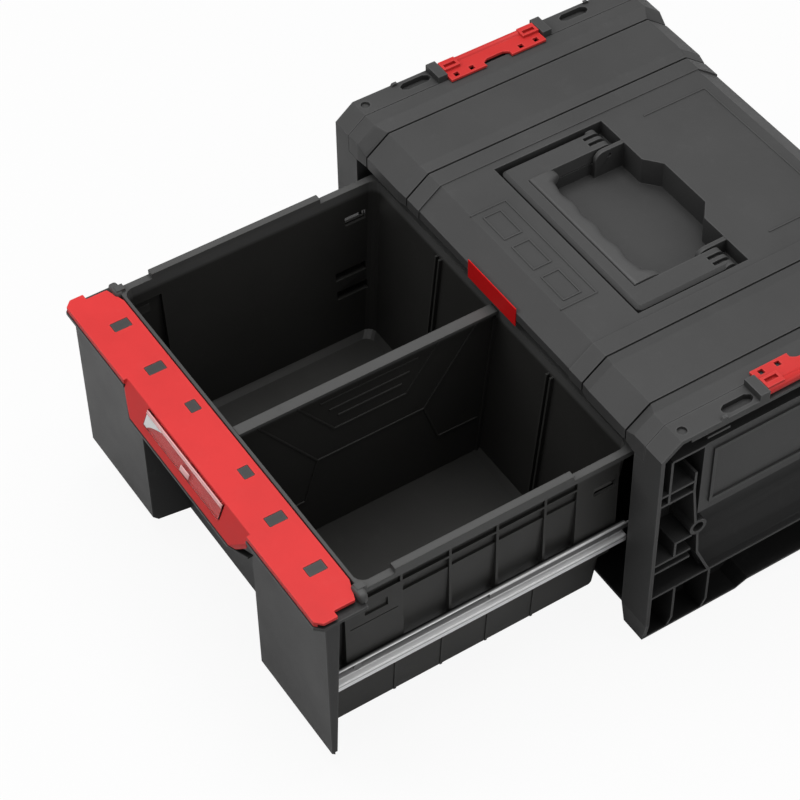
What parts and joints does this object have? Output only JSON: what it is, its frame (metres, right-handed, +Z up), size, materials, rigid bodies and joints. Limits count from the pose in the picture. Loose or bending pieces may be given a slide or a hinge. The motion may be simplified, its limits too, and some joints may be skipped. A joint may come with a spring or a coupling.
{
  "type": "drawer toolbox",
  "caption": "Stackable black plastic tool box with a full-width drawer on telescopic slides, a divider, a red pull strip, a folding carry handle and hinged side latches.",
  "frame": {"origin": "centre of the area that the casing stands on, between its four feet", "axes": "+Z up; +X to the right seen from the front; the drawer opens towards -Y"},
  "size_m": [0.45, 0.5931, 0.244],
  "materials": {
    "black_plastic": "fine-grained matt moulded plastic",
    "grip_plastic": "soft matt moulded plastic",
    "red_plastic": "satin moulded plastic",
    "red_tag": "plain satin tag",
    "clear_plastic": "clear gloss",
    "slide_steel": "bright zinc-plated rolled steel",
    "screw_steel": "plain steel"
  },
  "bodies": {
    "casing": {"top_cover": "black_plastic", "right_side_frame": "black_plastic", "left_side_frame": "black_plastic", "base_tray": "black_plastic", "rear_panel": "black_plastic", "right_case_rail": "slide_steel", "left_case_rail": "slide_steel", "case_rail_screws": "screw_steel", "frame_screws": "screw_steel", "handle_pins": "screw_steel", "right_latch_pin": "screw_steel", "left_latch_pin": "screw_steel", "front_tag": "red_tag"},
    "handle": {"handle_frame": "black_plastic", "handle_grip": "grip_plastic"},
    "right_latch_body": {"right_latch": "red_plastic"},
    "left_latch_body": {"left_latch": "red_plastic"},
    "right_mid_slide": {"right_mid_rail": "slide_steel"},
    "left_mid_slide": {"left_mid_rail": "slide_steel"},
    "drawer": {"drawer_tub": "black_plastic", "drawer_front": "black_plastic", "pull_strip": "red_plastic", "label_window": "clear_plastic", "drawer_divider": "black_plastic", "right_drawer_rail": "slide_steel", "left_drawer_rail": "slide_steel", "drawer_rail_screws": "screw_steel", "front_screws": "screw_steel"}
  },
  "joints": [
    {"name": "drawer_slide", "type": "slide", "parent": "casing", "child": "drawer", "axis": [0, 1, 0], "range_m": [0, 0.28]},
    {"name": "right_mid_travel", "type": "slide", "parent": "casing", "child": "right_mid_slide", "axis": [0, 1, 0], "range_m": [0, 0.14]},
    {"name": "left_mid_travel", "type": "slide", "parent": "casing", "child": "left_mid_slide", "axis": [0, 1, 0], "range_m": [0, 0.14]},
    {"name": "handle_hinge", "type": "hinge", "parent": "casing", "child": "handle", "pos_m": [0, 0.0095, 0.225], "axis": [-1, 0, 0], "range_deg": [0, 95]},
    {"name": "right_latch_hinge", "type": "hinge", "parent": "casing", "child": "right_latch_body", "pos_m": [0.2195, -0.008, 0.2389], "axis": [0, 1, 0], "range_deg": [0, 90]},
    {"name": "left_latch_hinge", "type": "hinge", "parent": "casing", "child": "left_latch_body", "pos_m": [-0.2195, -0.008, 0.2389], "axis": [0, -1, 0], "range_deg": [0, 90]}
  ],
  "couplings": [
    {"joint": "right_mid_travel", "follows": "drawer_slide", "ratio": 0.5},
    {"joint": "left_mid_travel", "follows": "drawer_slide", "ratio": 0.5}
  ]
}
